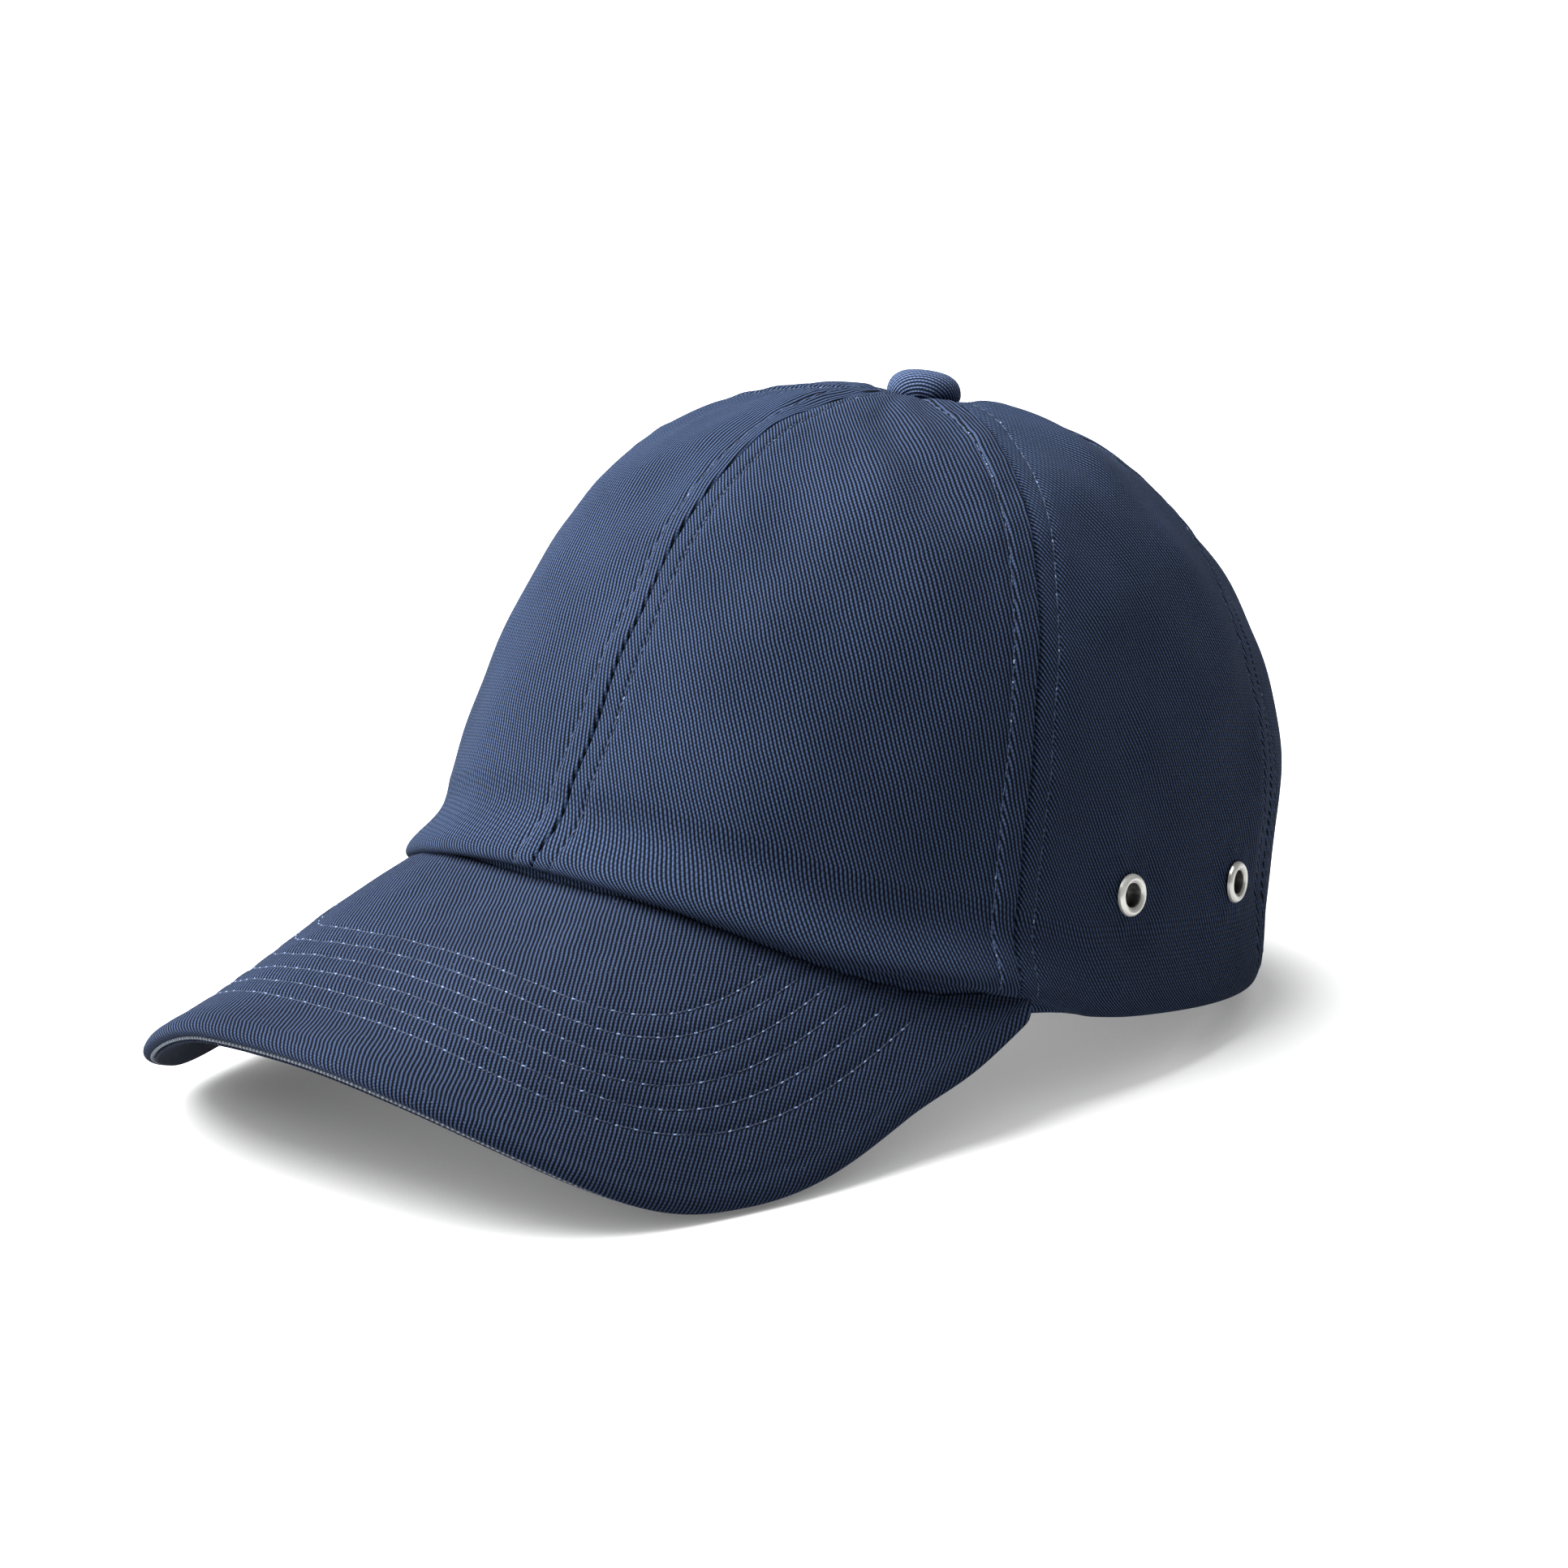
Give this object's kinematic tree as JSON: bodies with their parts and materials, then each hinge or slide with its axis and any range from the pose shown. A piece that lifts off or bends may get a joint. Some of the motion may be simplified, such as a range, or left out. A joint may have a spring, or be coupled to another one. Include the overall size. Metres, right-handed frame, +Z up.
{
  "type": "baseball cap",
  "caption": "Six-panel twill baseball cap with curved stitched visor, covered top button, metal side eyelets and an adjusting back strap with a flip buckle.",
  "frame": {"origin": "centre of the head opening, on the plane that the cap rests on", "axes": "-Y to the front of the visor, +X to the wearer's left, +Z up through the crown"},
  "size_m": [0.167, 0.2856, 0.1418],
  "materials": {
    "crown_twill": "cotton twill, matte",
    "visor_twill": "cotton twill, matte",
    "under_cover": "cotton twill, matte",
    "sandwich_trim": "light grey brushed cotton",
    "interlining": "stiff woven buckram",
    "seam_tape": "plain-woven tape",
    "sweatband_cloth": "plain-woven cotton",
    "visor_board": "polyethylene board",
    "nickel": "satin nickel plate",
    "button_metal": "stamped, dull"
  },
  "bodies": {
    "cap": {"front_left_panel": "crown_twill", "front_right_panel": "crown_twill", "side_left_panel": "crown_twill", "side_right_panel": "crown_twill", "back_left_panel": "crown_twill", "back_right_panel": "crown_twill", "front_interlining_left": "interlining", "front_interlining_right": "interlining", "seam_tape_front": "seam_tape", "seam_tape_side_left": "seam_tape", "seam_tape_side_right": "seam_tape", "seam_tape_rear_left": "seam_tape", "seam_tape_rear_right": "seam_tape", "seam_tape_back": "seam_tape", "sweatband": "sweatband_cloth", "opening_binding": "crown_twill", "button_cover": "crown_twill", "button_shell": "button_metal", "button_shank": "button_metal", "button_washer": "button_metal", "eyelet_left_front": "nickel", "eyelet_left_rear": "nickel", "eyelet_right_front": "nickel", "eyelet_right_rear": "nickel", "eyelet_washer_left_front": "nickel", "eyelet_washer_left_rear": "nickel", "eyelet_washer_right_front": "nickel", "eyelet_washer_right_rear": "nickel", "visor_board": "visor_board", "visor_top_cover": "visor_twill", "visor_under_cover": "under_cover", "visor_trim": "sandwich_trim", "buckle_frame": "nickel", "buckle_pin": "nickel", "buckle_loop": "crown_twill"},
    "strap": {"strap": "crown_twill"},
    "buckle_lever": {"buckle_lever": "nickel"}
  },
  "joints": [
    {"name": "strap_slide", "type": "hinge", "parent": "cap", "child": "strap", "pos_m": [0, 0.02139, 0.02229], "axis": [0, 0.1323, 0.9912], "range_deg": [-13, 13]},
    {"name": "lever_flip", "type": "hinge", "parent": "cap", "child": "buckle_lever", "pos_m": [-0.02095, 0.09727, 0.01217], "axis": [0, -0.1323, -0.9912], "range_deg": [0, 105]}
  ]
}
